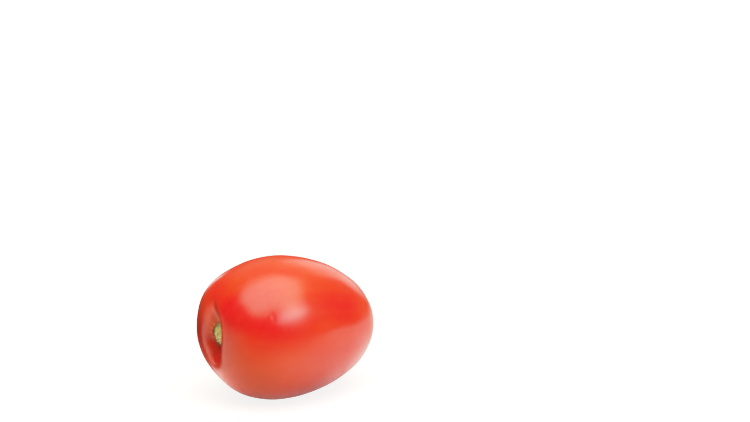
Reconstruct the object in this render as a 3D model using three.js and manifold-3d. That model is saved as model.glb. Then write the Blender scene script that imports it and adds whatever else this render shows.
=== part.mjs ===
// A plum tomato lying on its side, in millimetres, +Z up.
// The stem end points to -X, the blossom end to +X, and the rest spot lies on z = 0.
import * as THREE from 'three';
import { mergeVertices } from 'three/addons/utils/BufferGeometryUtils.js';
import Module from 'manifold-3d';

// Body of the fruit, an egg with slightly squared shoulders, wider at the stem end
const HALF_LENGTH = 34.3;
const GIRTH_RADIUS = 25.0;
const STEM_END_FULLNESS = 2.22;
const BLOSSOM_END_FULLNESS = 2.15;
const EGG_SHARE = 0.14;

// The egg's long axis stays this much nose-up when the fruit rests on its side
const REST_TILT_DEGREES = 7.5;

// Broad low swells and hollows of the grown skin: degrees from the stem pole, degrees around the
// axis from the far side over the top, spread in degrees, height in mm
const SWELLS = [
  { name: 'far shoulder', fromStem: 40, around: 40, spread: 15, height: 0.8 },
  { name: 'saddle behind the shoulder', fromStem: 56, around: 62, spread: 15, height: -0.6 },
  { name: 'top of the girth', fromStem: 80, around: 79, spread: 18, height: 0.2 },
  { name: 'flat of the lower flank', fromStem: 112, around: 235, spread: 18, height: -0.25 },
  { name: 'belly', fromStem: 80, around: 252, spread: 18, height: 0.45 },
  { name: 'chin', fromStem: 57, around: 270, spread: 13, height: 0.45 },
  { name: 'flat below the stem end', fromStem: 42, around: 288, spread: 13, height: -0.55 },
  { name: 'low far shoulder', fromStem: 34, around: 325, spread: 15, height: 0.15 },
];

// Hollow at the stem end: steeper on the near side, a long easy slope on the far side
const HOLLOW_DEPTH = 3.3;
const HOLLOW_HEIGHT = -2.0;
const HOLLOW_NEAR = 3.4;
const HOLLOW_FAR = 6.2;
const HOLLOW_UP = 7.6;
const HOLLOW_DOWN = 7.5;
const HOLLOW_ROUNDNESS = 2.4;
const HOLLOW_SIDE_BLEND = 0.75;
const HOLLOW_HEIGHT_BLEND = 1.0;
const EQUATOR_BLEND = 0.05;

// Valley that crosses the hollow from top to bottom, bowed towards the far side at both ends,
// and deeper and wider in its lower pocket
const VALLEY_DEPTH = 1.9;
const VALLEY_HALF_WIDTH = 2.5;
const VALLEY_BOTTOM = -10.8;
const VALLEY_BOTTOM_SOFTNESS = 1.2;
const VALLEY_TOP = 5.6;
const VALLEY_TOP_SOFTNESS = 1.8;
const VALLEY_BEND_HEIGHT = -3.0;
const VALLEY_UPPER_BOW = 0.02;
const VALLEY_LOWER_BOW = 0.012;
const POCKET_TOP = -6.0;
const POCKET_SOFTNESS = 1.5;
const POCKET_EXTRA_DEPTH = 1.2;
const POCKET_EXTRA_HALF_WIDTH = 0.2;

// Round dip in the far side of the hollow, below the scar
const DIP_DEPTH = 0.7;
const DIP_ACROSS = 3.3;
const DIP_HEIGHT = -4.7;
const DIP_REACH = 1.9;

// Corky stem scar in its socket. Its face is a shallow dome that leans back at the bottom and is
// turned so that its far edge stands out.
const SCAR_FAR_RADIUS = 3.4;
const SCAR_NEAR_RADIUS = 3.3;
const SCAR_UP_RADIUS = 4.1;
const SCAR_ACROSS = -0.1;
const SCAR_HEIGHT = -1.8;
const SCAR_FACE_INSET = 3.1;
const SCAR_DOME = 0.35;
const SCAR_LEAN = 0.12;
const SCAR_TURN = 0.13;
const SCAR_NEAR_BLEND = 0.25;
const SCAR_ROOT_LENGTH = 3.4;
const SCAR_ROOT_TAPER = 0.82;
const SOCKET_GAP = 0.3;

// Waves of the scar's ragged edge: share of its radius, how many around, and phase
const SCAR_WAVES = [
  { share: 0.06, count: 2, phase: 0 },
  { share: 0.04, count: 5, phase: 1 },
  { share: 0.018, count: 11, phase: 0 },
];

// Flat spot that the fruit rests on
const REST_SPOT_CUT = 0.35;
const CUT_BOX_WIDTH = 4 * HALF_LENGTH;
const CUT_BOX_HEIGHT = HALF_LENGTH;

// Resolution, and the rings of the scar's face as shares of its radius
const RINGS = 46;
const SECTORS = 56;
const RING_CROWDING = 1.3;
const SCAR_SECTORS = 30;
const SCAR_FACE_SHARES = [0.3, 0.7, 1];

const radians = THREE.MathUtils.degToRad;
const skinMaterial = new THREE.MeshStandardMaterial({ color: 0xe2321f, roughness: 0.25, metalness: 0 });
const corkMaterial = new THREE.MeshStandardMaterial({ color: 0xb9ad72, roughness: 0.9, metalness: 0 });

// Direction from the fruit's middle, by angle from the stem pole and angle around the long axis
function direction(fromStem, around) {
  return new THREE.Vector3(
    -Math.cos(fromStem),
    Math.sin(fromStem) * Math.cos(around),
    Math.sin(fromStem) * Math.sin(around),
  );
}

// Smooth 0 to 1 step centred on 0
function softStep(value, softness) {
  return 1 / (1 + Math.exp(-value / softness));
}

// How far the skin stands out of the plain egg in one direction
function swellHeight(outward) {
  let height = 0;
  for (const swell of SWELLS) {
    const centre = direction(radians(swell.fromStem), radians(swell.around));
    const apart = outward.angleTo(centre);
    height += swell.height * Math.exp(-0.5 * (apart / radians(swell.spread)) ** 2);
  }
  return height;
}

// How far the stem end is pushed in at one place across (y) and up (z)
function hollowDepth(y, z) {
  const bow = z > VALLEY_BEND_HEIGHT ? VALLEY_UPPER_BOW : VALLEY_LOWER_BOW;
  const across = y - bow * (z - VALLEY_BEND_HEIGHT) ** 2;
  const up = z - HOLLOW_HEIGHT;
  const farShare = softStep(across, HOLLOW_SIDE_BLEND);
  const upShare = softStep(up, HOLLOW_HEIGHT_BLEND);
  const halfWidth = HOLLOW_NEAR + (HOLLOW_FAR - HOLLOW_NEAR) * farShare;
  const halfHeight = HOLLOW_DOWN + (HOLLOW_UP - HOLLOW_DOWN) * upShare;
  const reach = Math.hypot(across / halfWidth, up / halfHeight);
  const bowl = HOLLOW_DEPTH * Math.exp(-(reach ** HOLLOW_ROUNDNESS));
  const pocketShare = softStep(POCKET_TOP - z, POCKET_SOFTNESS);
  const valleyHalfWidth = VALLEY_HALF_WIDTH + POCKET_EXTRA_HALF_WIDTH * pocketShare;
  const valleyDepth = VALLEY_DEPTH + POCKET_EXTRA_DEPTH * pocketShare;
  const aboveBottom = softStep(z - VALLEY_BOTTOM, VALLEY_BOTTOM_SOFTNESS);
  const belowTop = softStep(VALLEY_TOP - z, VALLEY_TOP_SOFTNESS);
  const valley = valleyDepth * Math.exp(-((across / valleyHalfWidth) ** 2)) * aboveBottom * belowTop;
  const dipReach = Math.hypot(y - DIP_ACROSS, z - DIP_HEIGHT) / DIP_REACH;
  const dip = DIP_DEPTH * Math.exp(-(dipReach ** 2));
  return bowl + valley + dip;
}

// Point of the skin, long axis along X
function skinPoint(fromStem, around) {
  const cosine = Math.cos(fromStem);
  const sine = Math.sin(fromStem);
  const fullness = (STEM_END_FULLNESS + BLOSSOM_END_FULLNESS) / 2
    + (STEM_END_FULLNESS - BLOSSOM_END_FULLNESS) / 2 * cosine;
  const stretch = (Math.abs(cosine) ** fullness + Math.abs(sine) ** fullness) ** (-1 / fullness);
  const radius = GIRTH_RADIUS * sine * stretch * (1 + EGG_SHARE * cosine * stretch);
  const outward = direction(fromStem, around);
  const point = new THREE.Vector3(
    -HALF_LENGTH * cosine * stretch,
    radius * Math.cos(around),
    radius * Math.sin(around),
  );
  point.addScaledVector(outward, swellHeight(outward));
  point.x += hollowDepth(point.y, point.z) * softStep(cosine, EQUATOR_BLEND);
  return point;
}

// Closed mesh through rings of points between two end points, faces out.
// The rings turn from +Y over +Z and follow each other towards +X.
function closedRings(firstPoint, rings, lastPoint) {
  const count = rings[0].length;
  const positions = [firstPoint, ...rings.flat(), lastPoint];
  const at = (ring, step) => 1 + ring * count + (step % count);
  const last = positions.length - 1;
  const index = [];
  for (let step = 0; step < count; step += 1) {
    index.push(0, at(0, step + 1), at(0, step));
    index.push(last, at(rings.length - 1, step), at(rings.length - 1, step + 1));
    for (let ring = 0; ring < rings.length - 1; ring += 1) {
      index.push(at(ring, step), at(ring, step + 1), at(ring + 1, step));
      index.push(at(ring, step + 1), at(ring + 1, step + 1), at(ring + 1, step));
    }
  }
  const geometry = new THREE.BufferGeometry();
  geometry.setAttribute('position', new THREE.Float32BufferAttribute(positions.flatMap((p) => p.toArray()), 3));
  geometry.setIndex(index);
  return geometry;
}

function fruitGeometry() {
  const rings = [];
  for (let ring = 1; ring < RINGS; ring += 1) {
    const fromStem = Math.PI * (ring / RINGS) ** RING_CROWDING;
    const points = [];
    for (let sector = 0; sector < SECTORS; sector += 1) {
      points.push(skinPoint(fromStem, 2 * Math.PI * sector / SECTORS));
    }
    rings.push(points);
  }
  return closedRings(skinPoint(0, 0), rings, skinPoint(Math.PI, 0));
}

// Ragged outline of the scar at one angle around it, scaled and then grown by a margin
function scarEdge(around, scale, margin) {
  const nearShare = softStep(-Math.cos(around), SCAR_NEAR_BLEND);
  const across = SCAR_FAR_RADIUS + (SCAR_NEAR_RADIUS - SCAR_FAR_RADIUS) * nearShare;
  let ragged = 1;
  for (const wave of SCAR_WAVES) {
    ragged += wave.share * Math.sin(wave.count * around + wave.phase);
  }
  return new THREE.Vector2(
    (across * ragged * scale + margin) * Math.cos(around),
    (SCAR_UP_RADIUS * ragged * scale + margin) * Math.sin(around),
  );
}

// Solid with the scar's outline at each [inset from the stem end, scale] of a profile,
// each outline leaning and turned like the face
function scarPlug(profile, margin) {
  const middleAt = (inset) => new THREE.Vector3(inset - HALF_LENGTH, SCAR_ACROSS, SCAR_HEIGHT);
  const rings = profile.map(([inset, scale]) => {
    const points = [];
    for (let step = 0; step < SCAR_SECTORS; step += 1) {
      const edge = scarEdge(2 * Math.PI * step / SCAR_SECTORS, scale, margin);
      const stoodOut = SCAR_LEAN * edge.y + SCAR_TURN * edge.x;
      points.push(middleAt(inset).add(new THREE.Vector3(-stoodOut, edge.x, edge.y)));
    }
    return points;
  });
  const [frontInset] = profile[0];
  const [rootInset] = profile[profile.length - 1];
  return closedRings(middleAt(frontInset), rings, middleAt(rootInset));
}

const wasm = await Module();
wasm.setup();

function toManifold(geometry) {
  const merged = mergeVertices(geometry);
  return new wasm.Manifold(new wasm.Mesh({
    numProp: 3,
    vertProperties: merged.attributes.position.array,
    triVerts: new Uint32Array(merged.index.array),
  }));
}

function toGeometry(manifold) {
  const mesh = manifold.getMesh();
  const geometry = new THREE.BufferGeometry();
  geometry.setAttribute('position', new THREE.BufferAttribute(mesh.vertProperties, 3));
  geometry.setIndex(new THREE.BufferAttribute(mesh.triVerts, 1));
  return geometry;
}

// Turned to its rest, then set with the middle of its box on x = y = 0 and the rest spot on z = 0
const restTurn = new THREE.Matrix4().makeRotationY(radians(REST_TILT_DEGREES));
const egg = fruitGeometry().applyMatrix4(restTurn);
egg.computeBoundingBox();
const box = egg.boundingBox;
const restSpotLevel = box.min.z + REST_SPOT_CUT;
const place = new THREE.Vector3(-(box.min.x + box.max.x) / 2, -(box.min.y + box.max.y) / 2, -restSpotLevel);

// The scar's root narrows into the flesh
const scarEdgeInset = SCAR_FACE_INSET + SCAR_DOME;
const scarRootInset = scarEdgeInset + SCAR_ROOT_LENGTH;
const scarFace = SCAR_FACE_SHARES.map((share) => [SCAR_FACE_INSET + SCAR_DOME * share ** 2, share]);
const scarProfile = [...scarFace, [scarRootInset, SCAR_ROOT_TAPER]];
const socketProfile = [
  [-HALF_LENGTH, 1],
  [scarEdgeInset, 1],
  [scarRootInset + SOCKET_GAP, SCAR_ROOT_TAPER],
];
const socket = scarPlug(socketProfile, SOCKET_GAP).applyMatrix4(restTurn);
const below = new THREE.BoxGeometry(CUT_BOX_WIDTH, CUT_BOX_WIDTH, CUT_BOX_HEIGHT);
below.deleteAttribute('normal');
below.deleteAttribute('uv');
below.translate(0, 0, restSpotLevel - CUT_BOX_HEIGHT / 2);

const fruit = new THREE.Mesh(
  toGeometry(toManifold(egg).subtract(toManifold(socket)).subtract(toManifold(below))),
  skinMaterial,
);
fruit.name = 'fruit';

const stemScar = new THREE.Mesh(scarPlug(scarProfile, 0).applyMatrix4(restTurn), corkMaterial);
stemScar.name = 'stem_scar';

const tomato = new THREE.Group();
tomato.add(fruit, stemScar);
tomato.position.copy(place);

export default tomato;
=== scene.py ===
"""A ripe plum tomato lying on its side on a white table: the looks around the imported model.

Shapes are worked out in millimetres with the long axis along X, then turned and placed in the frame.
"""

import math

import bpy
import numpy as np
from mathutils import Matrix, Quaternion, Vector, noise


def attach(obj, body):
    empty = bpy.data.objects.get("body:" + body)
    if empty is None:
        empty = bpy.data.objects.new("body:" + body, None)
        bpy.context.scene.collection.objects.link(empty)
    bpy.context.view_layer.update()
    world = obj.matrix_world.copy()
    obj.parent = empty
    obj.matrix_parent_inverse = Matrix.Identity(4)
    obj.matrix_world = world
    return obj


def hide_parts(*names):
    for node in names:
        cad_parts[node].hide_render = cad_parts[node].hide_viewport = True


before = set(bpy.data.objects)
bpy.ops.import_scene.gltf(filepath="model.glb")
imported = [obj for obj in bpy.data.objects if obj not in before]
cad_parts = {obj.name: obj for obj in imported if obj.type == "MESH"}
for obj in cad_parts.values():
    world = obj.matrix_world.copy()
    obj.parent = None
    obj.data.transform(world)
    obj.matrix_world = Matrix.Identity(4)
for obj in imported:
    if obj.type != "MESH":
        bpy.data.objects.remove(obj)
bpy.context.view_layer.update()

MM = 0.001

# Body of the fruit
HALF_LENGTH = 34.3
GIRTH_RADIUS = 25.0
STEM_END_FULLNESS = 2.22
BLOSSOM_END_FULLNESS = 2.15
EGG_SHARE = 0.14
REST_TILT = math.radians(7.5)
REST_SPOT_CUT = 0.35
REST_SPOT_SOFTNESS = 0.06
EQUATOR_BLEND = 0.05

# Broad low swells and hollows of the skin: degrees from the stem pole, degrees around the axis from
# the far side over the top, spread in degrees, height in mm
SWELLS = {
    "far shoulder": (40, 40, 15, 0.8),
    "saddle behind the shoulder": (56, 62, 15, -0.6),
    "top of the girth": (80, 79, 18, 0.2),
    "flat of the lower flank": (112, 235, 18, -0.25),
    "belly": (80, 252, 18, 0.45),
    "chin": (57, 270, 13, 0.45),
    "flat below the stem end": (42, 288, 13, -0.55),
    "low far shoulder": (34, 325, 15, 0.15),
}

# Hollow at the stem end and the valley that crosses it
HOLLOW_DEPTH = 3.3
HOLLOW_HEIGHT = -2.0
HOLLOW_NEAR = 3.4
HOLLOW_FAR = 6.2
HOLLOW_UP = 7.6
HOLLOW_DOWN = 7.5
HOLLOW_ROUNDNESS = 2.4
HOLLOW_SIDE_BLEND = 0.75
HOLLOW_HEIGHT_BLEND = 1.0
VALLEY_DEPTH = 1.9
VALLEY_HALF_WIDTH = 2.5
VALLEY_BOTTOM = -10.8
VALLEY_BOTTOM_SOFTNESS = 1.2
VALLEY_TOP = 5.6
VALLEY_TOP_SOFTNESS = 1.8
VALLEY_BEND_HEIGHT = -3.0
VALLEY_UPPER_BOW = 0.02
VALLEY_LOWER_BOW = 0.012
POCKET_TOP = -6.0
POCKET_SOFTNESS = 1.5
POCKET_EXTRA_DEPTH = 1.2
POCKET_EXTRA_HALF_WIDTH = 0.2
DIP_DEPTH = 0.7
DIP_ACROSS = 3.3
DIP_HEIGHT = -4.7
DIP_REACH = 1.9

# Stem scar
SCAR_FAR_RADIUS = 3.4
SCAR_NEAR_RADIUS = 3.3
SCAR_UP_RADIUS = 4.1
SCAR_NEAR_BLEND = 0.25
SCAR_ACROSS = -0.1
SCAR_HEIGHT = -1.8
SCAR_FACE_INSET = 3.1
SCAR_DOME = 0.35
SCAR_DOME_REACH = 1.3
SCAR_LEAN = 0.12
SCAR_TURN = 0.13
SCAR_ROOT_LENGTH = 3.4
SCAR_ROOT_TAPER = 0.82
SOCKET_GAP = 0.22
SOCKET_DEPTH = 1.1
SOCKET_SOFTNESS = 0.045
# Waves of the scar's edge: share of the radius, count around and phase
SCAR_WAVES = ((0.06, 2, 0.0), (0.04, 5, 1.0), (0.018, 11, 0.0))
# Finer waves of the dry edge: share of its raggedness, count around and phase
SCAR_FINE_WAVES = ((0.5, 19, 2.0), (0.35, 31, 4.0), (0.3, 47, 0.0))

# Camera, as the photograph was taken
PHOTO_WIDTH = 750
PHOTO_HEIGHT = 422
FRUIT_MIDDLE_PIXEL = (290.2, 325.5)
PIXELS_PER_MM = 2.77
CAMERA_AZIMUTH = math.radians(-38.0)
CAMERA_ELEVATION = math.radians(15.5)
CAMERA_DISTANCE = 560.0
SENSOR_WIDTH = 36.0

# The smooth step is cut off here, where it no longer changes
STEP_END = 60


def soft_step(value, softness):
    """Smooth 0 to 1 step centred on 0."""
    return 1 / (1 + np.exp(-np.clip(value / softness, -STEP_END, STEP_END)))


def direction(from_stem, around):
    """Unit directions from the fruit's middle."""
    return np.stack([
        -np.cos(from_stem),
        np.sin(from_stem) * np.cos(around),
        np.sin(from_stem) * np.sin(around),
    ], axis=-1)


def near_spot(outward, from_stem, around, reach):
    """1 at a spot of the skin, falling away from it over its reach, all in degrees."""
    centre = direction(math.radians(from_stem), math.radians(around))
    apart = np.arccos(np.clip(outward @ centre, -1, 1))
    return np.exp(-0.5 * (apart / math.radians(reach)) ** 2)


def sum_of_spots(outward, spots):
    """Sum of spots of the skin, each with its own height or share."""
    return sum(gain * near_spot(outward, *spot) for *spot, gain in spots.values())


def valley_across(y, z):
    """Distance across from the bowed middle line of the valley."""
    bow = np.where(z > VALLEY_BEND_HEIGHT, VALLEY_UPPER_BOW, VALLEY_LOWER_BOW)
    return y - bow * (z - VALLEY_BEND_HEIGHT) ** 2


def bowl_depth(y, z):
    """How far the stem end is pushed in around the scar, across (y) and up (z)."""
    across = valley_across(y, z)
    up = z - HOLLOW_HEIGHT
    half_width = HOLLOW_NEAR + (HOLLOW_FAR - HOLLOW_NEAR) * soft_step(across, HOLLOW_SIDE_BLEND)
    half_height = HOLLOW_DOWN + (HOLLOW_UP - HOLLOW_DOWN) * soft_step(up, HOLLOW_HEIGHT_BLEND)
    reach = np.hypot(across / half_width, up / half_height)
    return HOLLOW_DEPTH * np.exp(-reach ** HOLLOW_ROUNDNESS)


def groove_depth(y, z):
    """How much deeper the valley, with the pocket at its foot, and the dip beside the scar are."""
    across = valley_across(y, z)
    pocket = soft_step(POCKET_TOP - z, POCKET_SOFTNESS)
    valley_half_width = VALLEY_HALF_WIDTH + POCKET_EXTRA_HALF_WIDTH * pocket
    valley_depth = VALLEY_DEPTH + POCKET_EXTRA_DEPTH * pocket
    above_bottom = soft_step(z - VALLEY_BOTTOM, VALLEY_BOTTOM_SOFTNESS)
    below_top = soft_step(VALLEY_TOP - z, VALLEY_TOP_SOFTNESS)
    valley = valley_depth * np.exp(-(across / valley_half_width) ** 2) * above_bottom * below_top
    dip_reach = np.hypot(y - DIP_ACROSS, z - DIP_HEIGHT) / DIP_REACH
    dip = DIP_DEPTH * np.exp(-dip_reach ** 2)
    return valley + dip


def egg_points(from_stem, around, extra_height=0.0):
    """Points of the skin, long axis along X, stood out by an extra height."""
    cosine = np.cos(from_stem)
    sine = np.sin(from_stem)
    middle_fullness = (STEM_END_FULLNESS + BLOSSOM_END_FULLNESS) / 2
    fullness = middle_fullness + (STEM_END_FULLNESS - BLOSSOM_END_FULLNESS) / 2 * cosine
    stretch = (np.abs(cosine) ** fullness + np.abs(sine) ** fullness) ** (-1 / fullness)
    radius = GIRTH_RADIUS * sine * stretch * (1 + EGG_SHARE * cosine * stretch)
    outward = direction(from_stem, around)
    points = np.stack([
        -HALF_LENGTH * cosine * stretch,
        radius * np.cos(around),
        radius * np.sin(around),
    ], axis=-1)
    points = points + outward * (sum_of_spots(outward, SWELLS) + extra_height)[..., None]
    y, z = points[..., 1], points[..., 2]
    points[..., 0] += (bowl_depth(y, z) + groove_depth(y, z)) * soft_step(cosine, EQUATOR_BLEND)
    return points


def turned(points):
    """Points with the stem end raised as the fruit rests."""
    x, y, z = points[..., 0], points[..., 1], points[..., 2]
    return np.stack([
        x * math.cos(REST_TILT) + z * math.sin(REST_TILT),
        y,
        z * math.cos(REST_TILT) - x * math.sin(REST_TILT),
    ], axis=-1)


def skin_grid(rings, sectors, crowding):
    """Angles of a grid over the fruit, its rings crowded towards the stem end, poles left out."""
    steps = np.arange(1, rings) / rings
    from_stem = (np.pi * steps ** crowding)[:, None] * np.ones((1, sectors))
    around = (2 * np.pi * np.arange(sectors) / sectors)[None, :] * np.ones((rings - 1, 1))
    return from_stem, around


# Even grid that the fruit's box is measured on
BOX_RINGS = 120
BOX_SECTORS = 160


def place_in_frame():
    """Offset from the turned egg's own frame to the part's frame, in mm."""
    plain = turned(egg_points(*skin_grid(BOX_RINGS, BOX_SECTORS, 1.0))).reshape(-1, 3)
    low, high = plain.min(axis=0), plain.max(axis=0)
    middle = (low + high) / 2
    return np.array([-middle[0], -middle[1], -(low[2] + REST_SPOT_CUT)])


PLACE = place_in_frame()


def to_frame(points):
    """Long-axis points in mm to frame points in metres, flattened softly where the fruit rests."""
    placed = turned(points) + PLACE
    height = placed[..., 2]
    placed[..., 2] = (height + np.sqrt(height ** 2 + REST_SPOT_SOFTNESS ** 2)) / 2
    return placed * MM


# Range of the wavelengths in a set of waves, as shares of its wavelength, and its usual peak
SHORTEST_WAVE = 0.7
LONGEST_WAVE = 1.4
USUAL_PEAK = 1.5


def waves(points, wavelength, count, seed):
    """Smooth seeded unevenness of about unit height, made of plane waves."""
    draw = np.random.default_rng(seed)
    total = np.zeros(points.shape[:-1])
    for _ in range(count):
        axis = draw.normal(size=3)
        axis /= np.linalg.norm(axis)
        length = wavelength * draw.uniform(SHORTEST_WAVE, LONGEST_WAVE)
        total += np.sin(points @ axis * 2 * math.pi / length + draw.uniform(0, 2 * math.pi))
    return total / math.sqrt(count / 2) / USUAL_PEAK


def waves_around(around, ring_waves):
    """Sum of waves around a ring, each a share, a count around and a phase."""
    return sum(share * np.sin(count * around + phase) for share, count, phase in ring_waves)


def scar_edge(around, raggedness=0.0):
    """Uneven outline of the scar at angles around it: radii across and up, in mm."""
    near = soft_step(-np.cos(around), SCAR_NEAR_BLEND)
    across = SCAR_FAR_RADIUS + (SCAR_NEAR_RADIUS - SCAR_FAR_RADIUS) * near
    uneven = 1 + waves_around(around, SCAR_WAVES) + raggedness * waves_around(around, SCAR_FINE_WAVES)
    return across * uneven, SCAR_UP_RADIUS * uneven


def scar_reach(y, z):
    """0 at the scar's middle, 1 on its edge; and the edge's radius there, in mm."""
    dy = y - SCAR_ACROSS
    dz = z - SCAR_HEIGHT
    across, up = scar_edge(np.arctan2(dz, dy))
    reach = np.hypot(dy / across, dz / up)
    return reach, (across + up) / 2


def scar_face_x(y, z):
    """Where the scar's face lies along the long axis."""
    reach, _ = scar_reach(y, z)
    lean = -SCAR_LEAN * (z - SCAR_HEIGHT) - SCAR_TURN * (y - SCAR_ACROSS)
    return -HALF_LENGTH + SCAR_FACE_INSET + SCAR_DOME * np.minimum(reach, SCAR_DOME_REACH) ** 2 + lean


def mesh_object(name, vertices, faces, material):
    """A smooth-shaded mesh object at the origin."""
    mesh = bpy.data.meshes.new(name)
    mesh.from_pydata(vertices.tolist(), [], faces)
    mesh.polygons.foreach_set("use_smooth", [True] * len(mesh.polygons))
    mesh.materials.append(material)
    mesh.update()
    made = bpy.data.objects.new(name, mesh)
    bpy.context.scene.collection.objects.link(made)
    return made


def add_attribute(piece, name, values):
    """One number for each vertex, for the material to read."""
    layer = piece.data.attributes.new(name, "FLOAT", "POINT")
    layer.data.foreach_set("value", np.asarray(values, dtype=np.float32).ravel())


def closed_ring_faces(rings, sectors):
    """Faces of a mesh of first point, rings and last point, facing out."""
    faces = []
    last = 1 + rings * sectors
    for step in range(sectors):
        onward = (step + 1) % sectors
        faces.append((0, 1 + onward, 1 + step))
        base = 1 + (rings - 1) * sectors
        faces.append((last, base + step, base + onward))
    for ring in range(rings - 1):
        base = 1 + ring * sectors
        for step in range(sectors):
            onward = (step + 1) % sectors
            faces.append((base + step, base + onward, base + sectors + onward, base + sectors + step))
    return faces


# Material nodes

def new_material(name):
    material = bpy.data.materials.new(name)
    material.use_nodes = True
    return material, material.node_tree, material.node_tree.nodes["Principled BSDF"]


def connect(tree, socket, value):
    """Link a socket to another one, or set it to a plain value."""
    if isinstance(value, bpy.types.NodeSocket):
        tree.links.new(value, socket)
    else:
        socket.default_value = value


def add_node(tree, kind, **settings):
    """A node with its plain settings and its inputs, whose names are written with _ for spaces."""
    made = tree.nodes.new(kind)
    for key, value in settings.items():
        if hasattr(made, key):
            setattr(made, key, value)
        else:
            connect(tree, made.inputs[key.replace("_", " ")], value)
    return made


def noise_value(tree, vector, scale, detail=2.0, roughness=0.5):
    settings = {"Vector": vector, "Scale": scale, "Detail": detail, "Roughness": roughness}
    return add_node(tree, "ShaderNodeTexNoise", **settings).outputs["Fac"]


def spread(tree, value, low, high, to_low=0.0, to_high=1.0):
    """The value's range low to high, eased onto another range."""
    made = add_node(tree, "ShaderNodeMapRange", interpolation_type="SMOOTHSTEP", Value=value)
    made.inputs["From Min"].default_value = low
    made.inputs["From Max"].default_value = high
    made.inputs["To Min"].default_value = to_low
    made.inputs["To Max"].default_value = to_high
    return made.outputs["Result"]


def mix_number(tree, share, first, second):
    made = add_node(tree, "ShaderNodeMix", data_type="FLOAT")
    connect(tree, made.inputs[0], share)
    connect(tree, made.inputs[2], first)
    connect(tree, made.inputs[3], second)
    return made.outputs[0]


def mix_colour(tree, share, first, second):
    made = add_node(tree, "ShaderNodeMix", data_type="RGBA")
    # The sockets for colours come after those for numbers and vectors
    connect(tree, made.inputs[0], share)
    connect(tree, made.inputs[6], first)
    connect(tree, made.inputs[7], second)
    return made.outputs[2]


def arithmetic(tree, operation, *values):
    made = add_node(tree, "ShaderNodeMath", operation=operation)
    for socket, value in zip(made.inputs, values):
        connect(tree, socket, value)
    return made.outputs[0]


def product(tree, *factors):
    """The product of two factors or more."""
    total = factors[0]
    for factor in factors[1:]:
        total = arithmetic(tree, "MULTIPLY", total, factor)
    return total


def plus(tree, first, second):
    return arithmetic(tree, "ADD", first, second)


def maximum(tree, first, second):
    return arithmetic(tree, "MAXIMUM", first, second)


def attribute(tree, name):
    return add_node(tree, "ShaderNodeAttribute", attribute_name=name).outputs["Fac"]


def along(tree, place, way):
    """How far a place lies along a way."""
    made = add_node(tree, "ShaderNodeVectorMath", operation="DOT_PRODUCT")
    connect(tree, made.inputs[0], place)
    connect(tree, made.inputs[1], way)
    return made.outputs["Value"]


def distance_from(tree, place, spot):
    made = add_node(tree, "ShaderNodeVectorMath", operation="DISTANCE")
    connect(tree, made.inputs[0], place)
    connect(tree, made.inputs[1], spot)
    return made.outputs["Value"]


# Skin material: colours in linear light
RED = (0.49, 0.006, 0.007, 1)
DEEP_RED = (0.49, 0.003, 0.008, 1)
ORANGE_RED = (0.60, 0.055, 0.006, 1)
# Darker red painted where the skin lies in shade
PAINTED_SHADE_RED = (0.29, 0.009, 0.005, 1)
PALE_SPECK = (0.48, 0.05, 0.02, 1)
HALO_ORANGE = (0.60, 0.15, 0.035, 1)
DRY_BROWN = (0.13, 0.05, 0.02, 1)
# Strongest shares of its patterns
DEEP_SHARE = 0.5
STREAK_SHARE = 0.08
SPECK_SHARE = 0.06
DOT_SHARE = 0.22
# Its noise patterns: scale per metre and detail
BROAD_NOISE = (60.0, 2.0)
FINE_NOISE = (420.0, 3.0)
GLOSS_NOISE = (140.0, 2.0)
PORE_NOISE = (700.0, 2.0)
DOT_SCALE = 900.0
# Where each pattern starts and is full
BROAD_RANGE = (0.35, 0.65)
FINE_RANGE = (0.3, 0.7)
GLOSS_RANGE = (0.3, 0.7)
STREAK_RANGE = (-0.8, 0.8)
DOT_RANGE = (0.10, 0.24)
# Gloss, and the light that spreads within the flesh
SMOOTHEST = 0.20
ROUGHEST = 0.26
SKIN_IOR = 1.45
GLOSS_TINT = (1.0, 0.95, 0.76, 1)
FLESH_GLOW = 0.15
FLESH_GLOW_RADIUS = (1.0, 0.25, 0.12)
FLESH_GLOW_SCALE = 0.0025
PORE_DEPTH = 0.00012
PORE_STRENGTH = 0.06


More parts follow.
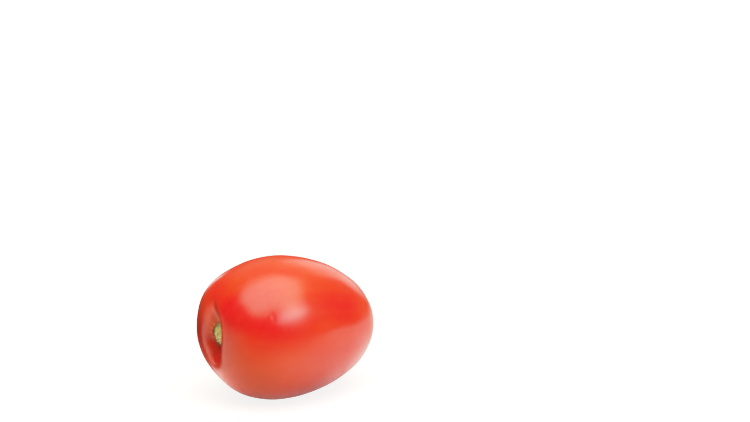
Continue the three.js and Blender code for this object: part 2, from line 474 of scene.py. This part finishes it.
def skin_material():
    material, tree, skin = new_material("tomato_skin")
    place = add_node(tree, "ShaderNodeTexCoord").outputs["Object"]
    broad = spread(tree, noise_value(tree, place, *BROAD_NOISE), *BROAD_RANGE)
    fine = spread(tree, noise_value(tree, place, *FINE_NOISE), *FINE_RANGE)
    streaks = spread(tree, attribute(tree, "streaks"), *STREAK_RANGE)
    dots = add_node(tree, "ShaderNodeTexVoronoi", Vector=place, Scale=DOT_SCALE).outputs["Distance"]
    dots = spread(tree, dots, *DOT_RANGE, 1.0, 0.0)
    colour = RED
    for share, other in (
        (product(tree, broad, DEEP_SHARE), DEEP_RED),
        # The fruit's own orange and deep red, with painted shade in the valley and painted light above
        # the scar
        (attribute(tree, "flush_light_and_shade"), ORANGE_RED),
        (product(tree, streaks, STREAK_SHARE), ORANGE_RED),
        # Painted shade: a darker red round the stem end's hollow and on the lower flank
        (attribute(tree, "painted_shade"), PAINTED_SHADE_RED),
        (product(tree, fine, SPECK_SHARE), PALE_SPECK),
        (product(tree, dots, DOT_SHARE), PALE_SPECK),
        # The scar's orange halo, with painted light above its middle
        (attribute(tree, "halo_and_painted_light"), HALO_ORANGE),
        (attribute(tree, "dry"), DRY_BROWN),
    ):
        colour = mix_colour(tree, share, colour, other)
    tree.links.new(colour, skin.inputs["Base Color"])
    gloss = spread(tree, noise_value(tree, place, *GLOSS_NOISE), *GLOSS_RANGE, SMOOTHEST, ROUGHEST)
    tree.links.new(gloss, skin.inputs["Roughness"])
    skin.inputs["IOR"].default_value = SKIN_IOR
    skin.inputs["Specular Tint"].default_value = GLOSS_TINT
    skin.inputs["Subsurface Weight"].default_value = FLESH_GLOW
    skin.inputs["Subsurface Radius"].default_value = FLESH_GLOW_RADIUS
    skin.inputs["Subsurface Scale"].default_value = FLESH_GLOW_SCALE
    pores = noise_value(tree, place, *PORE_NOISE)
    bump = add_node(tree, "ShaderNodeBump", Height=pores, Strength=PORE_STRENGTH, Distance=PORE_DEPTH)
    tree.links.new(bump.outputs["Normal"], skin.inputs["Normal"])
    return material


# Cork material: colours in linear light
CORK_PALE = (0.55, 0.47, 0.19, 1)
CORK_GREEN = (0.42, 0.47, 0.15, 1)
CORK_BROWN = (0.055, 0.032, 0.011, 1)
CORK_TAN = (0.36, 0.25, 0.09, 1)
# Strongest shares of its patterns
GREEN_SHARE = 0.8
PATCH_SHARE = 0.35
GRAIN_SHARE = 0.3
# Its noise patterns: scale per metre, detail and roughness
PATCH_NOISE = (500.0, 3.0, 0.5)
GRAIN_NOISE = (2600.0, 4.0, 0.65)
# Where each pattern starts and is full
PATCH_RANGE = (0.4, 0.6)
GRAIN_RANGE = (0.35, 0.65)
CORK_ROUGHNESS = 0.85
CORK_SPECULAR = 0.25
GRAIN_DEPTH = 0.0001
GRAIN_STRENGTH = 0.35


def scar_material():
    material, tree, cork = new_material("stem_scar_cork")
    place = add_node(tree, "ShaderNodeTexCoord").outputs["Object"]
    patches = spread(tree, noise_value(tree, place, *PATCH_NOISE), *PATCH_RANGE)
    grain = spread(tree, noise_value(tree, place, *GRAIN_NOISE), *GRAIN_RANGE)
    colour = CORK_PALE
    for share, other in (
        (product(tree, attribute(tree, "green"), GREEN_SHARE), CORK_GREEN),
        (product(tree, patches, PATCH_SHARE), CORK_TAN),
        (product(tree, grain, GRAIN_SHARE), CORK_TAN),
        (attribute(tree, "brown"), CORK_BROWN),
    ):
        colour = mix_colour(tree, share, colour, other)
    tree.links.new(colour, cork.inputs["Base Color"])
    cork.inputs["Roughness"].default_value = CORK_ROUGHNESS
    cork.inputs["Specular IOR Level"].default_value = CORK_SPECULAR
    bump = add_node(tree, "ShaderNodeBump", Height=grain, Strength=GRAIN_STRENGTH, Distance=GRAIN_DEPTH)
    tree.links.new(bump.outputs["Normal"], cork.inputs["Normal"])
    return material


# Fruit

SKIN_RINGS = 380
SKIN_SECTORS = 440
SKIN_CROWDING = 1.45
POLE_GAP = 1e-6
# Unevenness of the skin: height in mm, wavelength in mm, number of waves and seed
UNEVENNESS = ((0.05, 13.0, 10, 5), (0.012, 4.5, 14, 6))
# Faint ribs along the fruit over its seed chambers
RIB_HEIGHT = 0.10
RIB_COUNT = 3
RIB_PHASE = 0.6
# The blossom end carries a tiny dry tip in a dimple
TIP_DIMPLE_DEPTH = 0.35
TIP_DIMPLE_REACH = 2.2
TIP_HEIGHT = 0.45
TIP_REACH = 0.55
TIP_DRY_REACH = 0.7
# A short faint crease across the near shoulder
CREASE_DEPTH = 0.085
CREASE_FROM_STEM = math.radians(47.9)
CREASE_AROUND = math.radians(157)
CREASE_HALF_WIDTH = 0.5
CREASE_HALF_LENGTH = 1.9
# Orange halo around the scar, with faint rays; it is stronger and wider above its middle, partly as
# painted light on skin in the hollow's shade
HALO_SHARE = 0.45
HALO_UPPER_LIGHT_SHARE = 0.4
HALO_REACH = 0.5
HALO_UPPER_REACH = 0.7
HALO_MIDDLE = -0.5
HALO_SOFTNESS = 1.0
HALO_RAYS = 17
HALO_RAY_PHASE = 1.3
HALO_RAY_SHARE = 0.25
SOCKET_DRY_SHARE = 0.8


def skin_relief(from_stem, around, outward):
    """Height of the skin over the plain egg, in mm: its unevenness, ribs, tip and crease."""
    rough_place = outward * np.array([HALF_LENGTH, GIRTH_RADIUS, GIRTH_RADIUS])
    relief = sum(height * waves(rough_place, *kind) for height, *kind in UNEVENNESS)
    relief = relief + RIB_HEIGHT * np.sin(from_stem) ** 2 * np.cos(RIB_COUNT * around + RIB_PHASE)
    tip_across = (math.pi - from_stem) * GIRTH_RADIUS
    relief = relief - TIP_DIMPLE_DEPTH * np.exp(-(tip_across / TIP_DIMPLE_REACH) ** 2)
    relief = relief + TIP_HEIGHT * np.exp(-(tip_across / TIP_REACH) ** 2)
    along_crease = (from_stem - CREASE_FROM_STEM) * GIRTH_RADIUS / CREASE_HALF_WIDTH
    across_crease = (around - CREASE_AROUND) * GIRTH_RADIUS / CREASE_HALF_LENGTH
    return relief - CREASE_DEPTH * np.exp(-along_crease ** 2 - across_crease ** 2)


def halo_values(y, z, beyond_edge):
    """How much of the halo's orange the skin has around the scar, with painted light added above its
    middle.
    """
    angle = np.arctan2(z - SCAR_HEIGHT, y - SCAR_ACROSS)
    rays = 1 - HALO_RAY_SHARE + HALO_RAY_SHARE * np.sin(HALO_RAYS * angle + HALO_RAY_PHASE)
    upper = soft_step(z - SCAR_HEIGHT - HALO_MIDDLE, HALO_SOFTNESS)
    reach = HALO_REACH + HALO_UPPER_REACH * upper
    return (HALO_SHARE + HALO_UPPER_LIGHT_SHARE * upper) * np.exp(-np.maximum(beyond_edge, 0) / reach) * rays


def fruit_piece():
    grid_from_stem, grid_around = skin_grid(SKIN_RINGS, SKIN_SECTORS, SKIN_CROWDING)
    from_stem = np.concatenate([[POLE_GAP], grid_from_stem.ravel(), [math.pi - POLE_GAP]])
    around = np.concatenate([[0.0], grid_around.ravel(), [0.0]])
    outward = direction(from_stem, around)
    points = egg_points(from_stem, around, skin_relief(from_stem, around, outward))
    # Socket that the scar sits in
    y, z = points[:, 1], points[:, 2]
    reach, edge = scar_reach(y, z)
    beyond_edge = (reach - 1) * edge
    on_stem_end = np.cos(from_stem) > 0
    inside = soft_step(SOCKET_GAP - beyond_edge, SOCKET_SOFTNESS) * on_stem_end
    sunk = np.maximum(scar_face_x(y, z) + SOCKET_DEPTH - points[:, 0], 0)
    points[:, 0] += sunk * inside
    faces = closed_ring_faces(SKIN_RINGS - 1, SKIN_SECTORS)
    piece = mesh_object("fruit_skin", to_frame(points), faces, skin_material())
    add_attribute(piece, "streaks", streak_values(from_stem, around))
    add_attribute(piece, "flush_light_and_shade", flush_values(points, outward))
    # Painted shade round the stem end's hollow and on the lower flank
    add_attribute(piece, "painted_shade", np.minimum(sum_of_spots(outward, PAINTED_SHADE_SPOTS), 1))
    # The scar's orange halo, partly painted light above its middle
    add_attribute(piece, "halo_and_painted_light", halo_values(y, z, beyond_edge) * on_stem_end)
    tip_across = (math.pi - from_stem) * GIRTH_RADIUS
    dry = np.exp(-(tip_across / TIP_DRY_REACH) ** 4) + SOCKET_DRY_SHARE * inside
    add_attribute(piece, "dry", np.clip(dry, 0, 1))
    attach(piece, "root")
    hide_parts("fruit")
    return piece


# The streaks run along the fruit, so their place counts more around it than along it
STREAK_AROUND = 9
STREAK_ALONG = 1.2
STREAK_WAVES = (1.6, 16, 11)


def streak_values(from_stem, around):
    """Fine uneven lines from pole to pole."""
    ringed = np.stack([
        np.cos(around) * STREAK_AROUND,
        np.sin(around) * STREAK_AROUND,
        from_stem * STREAK_ALONG,
    ], axis=-1)
    return waves(ringed, *STREAK_WAVES) * np.sin(from_stem)


# Where the skin is more orange or a deeper red: degrees from the stem pole, degrees around the axis
# from the far side over the top, spread in degrees, and how much is added to the flush
FLUSH_BASE = 0.36
FLUSH_SPOTS = {
    "near shoulder, deep red": (42, 163, 19, -0.60),
    "over the stem end, deep red": (21, 128, 14, -0.55),
    "far shoulder, deep red": (26, 70, 11, -0.15),
    # Partly the fruit's own orange, partly painted light that lifts the skin in the hollow's shade
    # above the scar
    "above the scar, orange and painted light": (10, 60, 8, 0.50),
    "near flank, deep red": (104, 152, 15, -0.25),
    "low flank, deep red": (90, 200, 20, -0.12),
    "near rim of the hollow, orange": (24, 200, 8, 0.30),
    "top of the shoulder, orange": (33, 106, 8, 0.40),
    "top, orange": (85, 75, 40, 0.12),
    "blossom end, orange": (150, 180, 30, 0.25),
    "lower side, orange": (50, 215, 27, 0.60),
    "stem end, orange": (14, 270, 18, 0.45),
}
# Shade is painted into the valley, its pocket and the dip as a deeper, darker red, most of all low down
GROOVE_PAINTED_SHADE = -0.8
GROOVE_UPPER_SHARE = 0.35
GROOVE_LOW_TOP = -4.0
GROOVE_LOW_SOFTNESS = 1.0
UNEVEN_FLUSH = 0.07
UNEVEN_FLUSH_WAVES = (16.0, 8, 21)
# Where shade is painted into the skin as a darker red, round the stem end's hollow and on the lower
# flank: degrees as for the flush, and its strongest share
PAINTED_SHADE_SPOTS = {
    "below the scar": (13, 250, 14, 0.55),
    "far wall of the hollow": (20, 350, 12, 0.75),
    "near rim of the hollow": (17, 190, 9, 0.25),
    "lower flank": (104, 213, 27, 0.56),
}


def flush_values(points, outward):
    """How orange the skin is at each point, with painted shade in the valley, its pocket and the dip,
    and painted light above the scar.
    """
    # Painted shade: the valley, its pocket and the dip get a deeper, darker red
    groove_shade = np.minimum(groove_depth(points[:, 1], points[:, 2]), 1.0) * (outward[:, 0] < 0)
    low_down = soft_step(GROOVE_LOW_TOP - points[:, 2], GROOVE_LOW_SOFTNESS)
    groove_shade = groove_shade * (GROOVE_UPPER_SHARE + (1 - GROOVE_UPPER_SHARE) * low_down)
    flush_light_and_shade = FLUSH_BASE + sum_of_spots(outward, FLUSH_SPOTS) + GROOVE_PAINTED_SHADE * groove_shade
    return np.clip(flush_light_and_shade + UNEVEN_FLUSH * waves(points, *UNEVEN_FLUSH_WAVES), 0, 1)


# Stem scar

SCAR_FACE_RINGS = 70
SCAR_SECTORS = 260
SCAR_RAGGED = 0.045
SCAR_SIDE_SHARES = (0.15, 0.4, 1.0)
SCAR_FRONT = 0.15
# Kinds of noise over the scar's face: scale per mm, and the level of the cut through the noise
CRUMBS = (1.9, 3.0)
SMALL_CRUMBS = (4.5, 7.0)
CRUMBLE = (2.6, 1.0)
GRIT = (7.0, 5.0)
# Brown border: where it starts as a share of the radius, how far the crumbs move it, its softness
BORDER_START = 0.725
BORDER_WANDER = 0.22
BORDER_SOFTNESS = 0.035
# The border is weaker off the far and low side
BORDER_LEAST = 0.4
BORDER_TURN = 0.6
BORDER_SIDE = 0.2
BORDER_SIDE_SOFTNESS = 0.25
# Small brown crumbs away from the middle
SPOT_LEVEL = 0.36
SPOT_SOFTNESS = 0.03
SPOT_START = 0.45
SPOT_START_SOFTNESS = 0.1
SPOT_SHARE = 0.8
# A thin brown line runs up the middle
LINE_ACROSS = 0.8
LINE_WANDER = 0.3
LINE_HALF_WIDTH = 0.22
LINE_END = 0.8
LINE_END_SOFTNESS = 0.05
LINE_SHARE = 0.45
# The upper part is greener
GREEN_START = 0.5
GREEN_SOFTNESS = 0.8
# Relief of the dry face, in mm, and places on it as shares of the radius
CRUMBLE_HEIGHT = 0.22
GRIT_HEIGHT = 0.07
FIBRE_HEIGHT = 0.05
FIBRE_COUNT = 23
FIBRE_WANDER = 3
ROLLED_EDGE_START = 0.86
ROLLED_EDGE_DEPTH = 0.45
NUB_PLACE = 0.28
NUB_HALF_WIDTH = 0.10
NUB_HEIGHT = 0.35
NUB_COUNT = 5
NUB_UNEVENNESS = 0.4
PIT_DEPTH = 0.25
PIT_REACH = 0.16


def face_noise(y, z, kind):
    """Smooth noise at places of the scar's face, of a kind: its scale and the level of the cut."""
    scale, level = kind
    return np.array([noise.noise(Vector((a * scale, b * scale, level))) for a, b in zip(y, z)])


def scar_relief(y, z, share, around):
    """Height of the dry face off its smooth dome, in mm, positive inwards."""
    crumble = face_noise(y, z, CRUMBLE)
    grit = face_noise(y, z, GRIT)
    fibres = FIBRE_HEIGHT * np.sin(FIBRE_COUNT * around + FIBRE_WANDER * crumble) * share
    over_edge = (share - ROLLED_EDGE_START) / (1 - ROLLED_EDGE_START)
    rolled_edge = ROLLED_EDGE_DEPTH * np.clip(over_edge, 0, 1) ** 2
    nub_waves = 1 - NUB_UNEVENNESS + NUB_UNEVENNESS * np.sin(NUB_COUNT * around)
    nub = NUB_HEIGHT * np.exp(-((share - NUB_PLACE) / NUB_HALF_WIDTH) ** 2) * nub_waves
    pit = PIT_DEPTH * np.exp(-(share / PIT_REACH) ** 2)
    return CRUMBLE_HEIGHT * crumble + GRIT_HEIGHT * grit + fibres + rolled_edge - nub + pit


def brown_values(y, z, reach, crumbs):
    """How brown the cork is at each point: its border, small crumbs and the line up its middle."""
    border = soft_step(reach - BORDER_START + BORDER_WANDER * crumbs, BORDER_SOFTNESS)
    angle = np.arctan2(z - SCAR_HEIGHT, y - SCAR_ACROSS)
    side = soft_step(np.cos(angle + BORDER_TURN) + BORDER_SIDE, BORDER_SIDE_SOFTNESS)
    brown = border * (BORDER_LEAST + (1 - BORDER_LEAST) * side)
    spots = soft_step(face_noise(y, z, SMALL_CRUMBS) - SPOT_LEVEL, SPOT_SOFTNESS)
    spots = SPOT_SHARE * spots * soft_step(reach - SPOT_START, SPOT_START_SOFTNESS)
    off_line = (y - SCAR_ACROSS - LINE_ACROSS - LINE_WANDER * crumbs) / LINE_HALF_WIDTH
    line = LINE_SHARE * np.exp(-off_line ** 2) * soft_step(LINE_END - reach, LINE_END_SOFTNESS)
    return np.clip(np.maximum(np.maximum(brown, spots), line), 0, 1)


def scar_piece():
    around = 2 * math.pi * np.arange(SCAR_SECTORS) / SCAR_SECTORS
    across, up = scar_edge(around, SCAR_RAGGED)

    def ring_places(share):
        """Places across and up of a ring at a share of the radius."""
        y = SCAR_ACROSS + across * np.cos(around) * share
        z = SCAR_HEIGHT + up * np.sin(around) * share
        return y, z

    rings = []
    reaches = []
    for ring in range(1, SCAR_FACE_RINGS + 1):
        share = ring / SCAR_FACE_RINGS
        y, z = ring_places(share)
        x = scar_face_x(y, z) + scar_relief(y, z, share, around)
        rings.append(np.stack([x, y, z], axis=-1))
        reaches.append(np.full(SCAR_SECTORS, share))
    # Side and root, narrowing into the flesh
    rim_x = rings[-1][:, 0]
    for depth_share in SCAR_SIDE_SHARES:
        y, z = ring_places(1 - (1 - SCAR_ROOT_TAPER) * depth_share)
        rings.append(np.stack([rim_x + SCAR_ROOT_LENGTH * depth_share, y, z], axis=-1))
        reaches.append(np.full(SCAR_SECTORS, 1.0))
    front_x = scar_face_x(np.array([SCAR_ACROSS]), np.array([SCAR_HEIGHT]))[0]
    front = np.array([[front_x - SCAR_FRONT, SCAR_ACROSS, SCAR_HEIGHT]])
    root = np.array([[rings[-1][:, 0].mean(), SCAR_ACROSS, SCAR_HEIGHT]])
    points = np.concatenate([front, *rings, root])
    reach = np.concatenate([[0.0], *reaches, [1.0]])
    faces = closed_ring_faces(len(rings), SCAR_SECTORS)
    piece = mesh_object("scar_cork", to_frame(points), faces, scar_material())
    y, z = points[:, 1], points[:, 2]
    crumbs = face_noise(y, z, CRUMBS)
    add_attribute(piece, "brown", brown_values(y, z, reach, crumbs))
    add_attribute(piece, "green", soft_step(z - SCAR_HEIGHT - GREEN_START + crumbs, GREEN_SOFTNESS))
    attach(piece, "root")
    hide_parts("stem_scar")
    return piece


# Table, light and camera

# The white table, lit partly from below: half its side in metres
TABLE_HALF_SIDE = 0.26
TABLE_COLOUR = (0.34, 0.34, 0.37, 1)
TABLE_LIGHT = (1.0, 0.98, 0.93, 1)
TABLE_ROUGHNESS = 0.7
TABLE_SPECULAR = 0.2
# How strongly it glows as light for the fruit, and as the camera sees it
TABLE_GLOW = 1.6
SEEN_GLOW = 1.15
BLACK = (0, 0, 0, 1)
# Where the fruit's belly shades the table, in metres to the right and towards the camera, and how
# the light comes back with the distance from there
BELLY_RIGHT = -0.004
BELLY_NEARER = 0.011
BELLY_SHADE = (0.012, 0.038, 0.20, 1.0)
# The pattern of its light: each entry is a stretch from one place to another, in metres to the right
# or towards the camera, and the share of the light at either end
FRONT_FADE = (-0.005, 0.045, 1.0, 0.36)
FAR_FRONT_FADE = (0.03, 0.11, 1.0, 0.35)
LEFT_STRIP_EDGE = (0.018, 0.036, 0.08, 1.0)
LIT_FROM_LEFT_END = (-0.055, -0.035, 0.0, 1.0)
LIT_FROM_MIDDLE = (-0.015, 0.005, 0.0, 1.0)
LIT_ON_RIGHT = (0.0, 0.04, 0.0, 1.0)
BEHIND_FADE = (-0.08, 0.0, 0.55, 1.0)
RIGHT_FADE = (-0.01, 0.03, 1.0, 0.80)
DIM_BEHIND = (-0.03, 0.02, 0.2, 1.0)
DIM_FAR_LEFT = (-0.08, -0.05, 0.0, 1.0)
# How its fade towards the camera is moved: by a share of the way out on the left, and by a shift in
# metres that changes from left to right
LEFT_SLANT = 0.45
RIGHT_SHIFT = (-0.03, 0.02, 0.005, -0.034)
# How the front edge of the dark strip on the left slants
STRIP_SLANT = -0.3

# Ceiling softbox: its middle and half sides, as shares of its height over the table, and its turn
CEILING_HEIGHT = 2.0
CEILING_RIGHT = 0.02
CEILING_NEARER = 0.49
CEILING_HALF_LENGTH = 1.33
CEILING_HALF_WIDTH = 0.85
CEILING_TURN = math.radians(24)
CEILING_RADIANCE = 6.4
CEILING_COLOUR = (1.0, 0.96, 0.86)
CEILING_EDGE = (1.0, 0.97, 0.48, 1)
CEILING_FADE = (0.5, 4.0)
WHITE = (1, 1, 1, 1)

# Other soft lights: degrees round from the camera's side, positive to its right, degrees up, metres
# away, size in metres, radiance, colour, roll in degrees, and softness and roundness of the fade
LAMPS = {
    "round_lamp": (47.5, 30, 1.6, (1.9, 1.08), 12.6, (0.74, 0.85, 1.0), 4, (0.9, 2.0)),
    "back_light": (157.5, 19, 2.0, (1.15, 1.75), 1.5, (1.0, 0.98, 0.94), 0, (0.5, 3.0)),
    "small_back_light": (-161, 4, 2.0, (0.4, 0.6), 2.4, (1.0, 0.98, 0.94), 0, (0.5, 3.0)),
}

# The room: dim, with a pale wall high behind the fruit and a pale glow low on the left
BACKDROP_WHITE = (4.0, 4.0, 4.0, 1)
ROOM_DIM = (0.12, 0.11, 0.09, 1)
ROOM_WALL = (0.85, 0.74, 0.5, 1)
WALL_ELEVATION = math.radians(52)
WALL_FADE = (0.74, 0.98)
ROOM_LEFT = (1.25, 1.22, 1.12, 1)
LEFT_GLOW_TURN = math.radians(14)
LEFT_GLOW_FADE = (0.74, 0.93)
LEFT_GLOW_HEIGHT_FADE = (-0.03, 0.10)

TO_RIGHT = Vector((math.cos(CAMERA_AZIMUTH), math.sin(CAMERA_AZIMUTH), 0))
TO_CAMERA = Vector((math.sin(CAMERA_AZIMUTH), -math.cos(CAMERA_AZIMUTH), 0))
UP = Vector((0, 0, 1))


def light_given(tree, place):
    """How strongly each place of the table lights the fruit, 0 to 1."""
    rightwards = along(tree, place, TO_RIGHT)
    nearer = along(tree, place, TO_CAMERA)
    # The light fades towards the camera: from further forward on the right, and on the left from
    # further forward the further out the place is
    left_shift = product(tree, arithmetic(tree, "MINIMUM", rightwards, 0.0), LEFT_SLANT)
    right_shift = spread(tree, rightwards, *RIGHT_SHIFT)
    out = plus(tree, nearer, plus(tree, left_shift, right_shift))
    front = product(tree, spread(tree, out, *FRONT_FADE), spread(tree, out, *FAR_FRONT_FADE))
    # The left half is nearly dark as far forward as a slanting line, but for what lies right in
    # front of the fruit
    slanting = plus(tree, nearer, product(tree, rightwards, STRIP_SLANT))
    beyond_strip = spread(tree, slanting, *LEFT_STRIP_EDGE)
    by_fruit = product(
        tree, spread(tree, rightwards, *LIT_FROM_LEFT_END), spread(tree, nearer, *LIT_FROM_MIDDLE))
    unshaded = maximum(
        tree, maximum(tree, beyond_strip, by_fruit), spread(tree, rightwards, *LIT_ON_RIGHT))
    # It is weaker behind the fruit and on the right, and dim behind on the far left
    behind = spread(tree, nearer, *BEHIND_FADE)
    right = spread(tree, rightwards, *RIGHT_FADE)
    behind_left = maximum(
        tree, spread(tree, nearer, *DIM_BEHIND), spread(tree, rightwards, *DIM_FAR_LEFT))
    return product(tree, front, unshaded, behind, right, behind_left)


def floor():
    """The white table, which lights the fruit in its pattern and shows plain to the camera."""
    material, tree, surface = new_material("white_table")
    surface.inputs["Roughness"].default_value = TABLE_ROUGHNESS
    surface.inputs["Specular IOR Level"].default_value = TABLE_SPECULAR
    surface.inputs["Emission Color"].default_value = TABLE_LIGHT
    place = add_node(tree, "ShaderNodeTexCoord").outputs["Object"]
    given = light_given(tree, place)
    belly = TO_RIGHT * BELLY_RIGHT + TO_CAMERA * BELLY_NEARER
    under_belly = spread(tree, distance_from(tree, place, belly), *BELLY_SHADE)
    glow = product(tree, given, under_belly, TABLE_GLOW)
    seen = add_node(tree, "ShaderNodeLightPath").outputs["Is Camera Ray"]
    # Painted shade: for the fruit, the table's colour darkens to black with the same pattern as its
    # light, while the camera sees it plain
    colour = mix_colour(tree, given, BLACK, TABLE_COLOUR)
    tree.links.new(mix_colour(tree, seen, colour, TABLE_COLOUR), surface.inputs["Base Color"])
    strength = mix_number(tree, seen, glow, SEEN_GLOW)
    tree.links.new(strength, surface.inputs["Emission Strength"])
    bpy.ops.mesh.primitive_plane_add(size=2 * TABLE_HALF_SIDE, location=(0, 0, 0))
    table = bpy.context.object
    table.name = "table_top"
    table.data.materials.append(material)


def area_light(name, size, radiance, colour):
    """A rectangular light of a given radiance that the camera doesn't see."""
    data = bpy.data.lights.new(name, "AREA")
    data.shape = "RECTANGLE"
    data.size, data.size_y = size
    data.energy = radiance * math.pi * size[0] * size[1]
    data.color = colour
    lamp = bpy.data.objects.new(name, data)
    bpy.context.scene.collection.objects.link(lamp)
    lamp.visible_camera = False
    return lamp


def fade_edges(lamp, softness, roundness, edge_colour=WHITE):
    """Let a light fade to nothing and turn to its edge colour towards its rounded outline."""
    lamp.data.use_nodes = True
    tree = lamp.data.node_tree
    place = add_node(tree, "ShaderNodeNewGeometry").outputs["Parametric"]
    parts = add_node(tree, "ShaderNodeSeparateXYZ", Vector=place).outputs
    powers = []
    for side in (parts["X"], parts["Y"]):
        off_middle = arithmetic(tree, "ABSOLUTE", arithmetic(tree, "MULTIPLY_ADD", side, 2, -1))
        powers.append(arithmetic(tree, "POWER", off_middle, roundness))
    reach = arithmetic(tree, "POWER", plus(tree, *powers), 1 / roundness)
    strength = spread(tree, reach, 1 - softness, 1.0, 1.0, 0.0)
    emission = tree.nodes["Emission"].inputs
    tree.links.new(strength, emission["Strength"])
    tree.links.new(mix_colour(tree, strength, edge_colour, WHITE), emission["Color"])


def ceiling():
    """A level softbox over the table, facing down."""
    size = (2 * CEILING_HALF_LENGTH * CEILING_HEIGHT, 2 * CEILING_HALF_WIDTH * CEILING_HEIGHT)
    lamp = area_light("ceiling_softbox", size, CEILING_RADIANCE, CEILING_COLOUR)
    lamp.location = (TO_RIGHT * CEILING_RIGHT + TO_CAMERA * CEILING_NEARER + UP) * CEILING_HEIGHT
    lamp.rotation_euler = (0, 0, CAMERA_AZIMUTH + CEILING_TURN)
    fade_edges(lamp, *CEILING_FADE, CEILING_EDGE)


def lamps():
    """The lights of LAMPS, each turned to the fruit."""
    for name, (turn, elevation, distance, size, radiance, colour, roll, fade) in LAMPS.items():
        lamp = area_light(name, size, radiance, colour)
        away = seen_from(math.radians(turn) + CAMERA_AZIMUTH, math.radians(elevation))
        lamp.location = away * distance
        lamp.rotation_mode = "QUATERNION"
        lamp.rotation_quaternion = away.to_track_quat("Z", "Y") @ Quaternion(UP, math.radians(roll))
        fade_edges(lamp, *fade)


def room():
    """The world: the camera sees a white backdrop, and the fruit the room."""
    world = bpy.data.worlds.new("studio")
    bpy.context.scene.world = world
    world.use_nodes = True
    tree = world.node_tree
    towards = add_node(tree, "ShaderNodeTexCoord").outputs["Generated"]
    wall = -TO_CAMERA * math.cos(WALL_ELEVATION) + UP * math.sin(WALL_ELEVATION)
    wall_share = spread(tree, along(tree, towards, wall), *WALL_FADE)
    colour = mix_colour(tree, wall_share, ROOM_DIM, ROOM_WALL)
    left = TO_CAMERA * math.sin(LEFT_GLOW_TURN) - TO_RIGHT * math.cos(LEFT_GLOW_TURN)
    leftwards = spread(tree, along(tree, towards, left), *LEFT_GLOW_FADE)
    low = spread(tree, along(tree, towards, UP), *LEFT_GLOW_HEIGHT_FADE, 1.0, 0.0)
    colour = mix_colour(tree, product(tree, leftwards, low), colour, ROOM_LEFT)
    seen = add_node(tree, "ShaderNodeLightPath").outputs["Is Camera Ray"]
    shown = mix_colour(tree, seen, colour, BACKDROP_WHITE)
    tree.links.new(shown, tree.nodes["Background"].inputs["Color"])


# How bright scene light shows: straight up to the first knee, then the soft shoulder of a photograph
BRIGHTEST = 2.0
SHOULDER = ((0.62, 0.62), (0.80, 0.785), (1.0, 0.85), (1.25, 0.88), (1.45, 0.93), (1.7, 1.0))


def photograph_look():
    view = bpy.context.scene.view_settings
    view.view_transform = "Standard"
    view.use_curve_mapping = True
    mapping = view.curve_mapping
    mapping.clip_max_x = BRIGHTEST
    mapping.clip_max_y = BRIGHTEST
    mapping.extend = "HORIZONTAL"
    # The three colours' curves stay straight, and the fourth one bends all of them
    for channel in mapping.curves[:3]:
        channel.points[-1].location = (BRIGHTEST, BRIGHTEST)
    curve = mapping.curves[3]
    curve.points[-1].location = SHOULDER[-1]
    for light, shown in SHOULDER[:-1]:
        curve.points.new(light, shown)
    mapping.update()


def seen_from(azimuth, elevation):
    """Unit direction from the fruit to a place round it and up from it."""
    level = math.cos(elevation)
    return Vector((math.sin(azimuth) * level, -math.cos(azimuth) * level, math.sin(elevation)))


NEAREST_SEEN = 0.01
FARTHEST_SEEN = 20.0


def camera():
    """The photograph's camera: level, and turned so that the fruit falls where the photo has it."""
    focal = PIXELS_PER_MM * CAMERA_DISTANCE
    right = (FRUIT_MIDDLE_PIXEL[0] - PHOTO_WIDTH / 2) / focal
    up = (PHOTO_HEIGHT / 2 - FRUIT_MIDDLE_PIXEL[1]) / focal
    slant = math.sqrt(1 + right ** 2 + up ** 2)
    turned_azimuth = CAMERA_AZIMUTH + math.asin(right / slant / math.cos(CAMERA_ELEVATION))
    tipped = math.asin(math.sin(CAMERA_ELEVATION) * slant / math.sqrt(1 + up ** 2))
    turned_elevation = math.atan(up) + tipped
    data = bpy.data.cameras.new("camera")
    data.sensor_width = SENSOR_WIDTH
    data.lens = focal * SENSOR_WIDTH / PHOTO_WIDTH
    data.clip_start = NEAREST_SEEN
    data.clip_end = FARTHEST_SEEN
    made = bpy.data.objects.new("camera", data)
    bpy.context.scene.collection.objects.link(made)
    back = seen_from(turned_azimuth, turned_elevation)
    level_right = Vector((math.cos(turned_azimuth), math.sin(turned_azimuth), 0))
    turn = Matrix((level_right, back.cross(level_right), back)).transposed().to_4x4()
    stand = seen_from(CAMERA_AZIMUTH, CAMERA_ELEVATION) * CAMERA_DISTANCE * MM
    made.matrix_world = Matrix.Translation(Vector(PLACE * MM) + stand) @ turn
    bpy.context.scene.camera = made


camera()
fruit_piece()
scar_piece()
floor()
ceiling()
lamps()
room()
photograph_look()
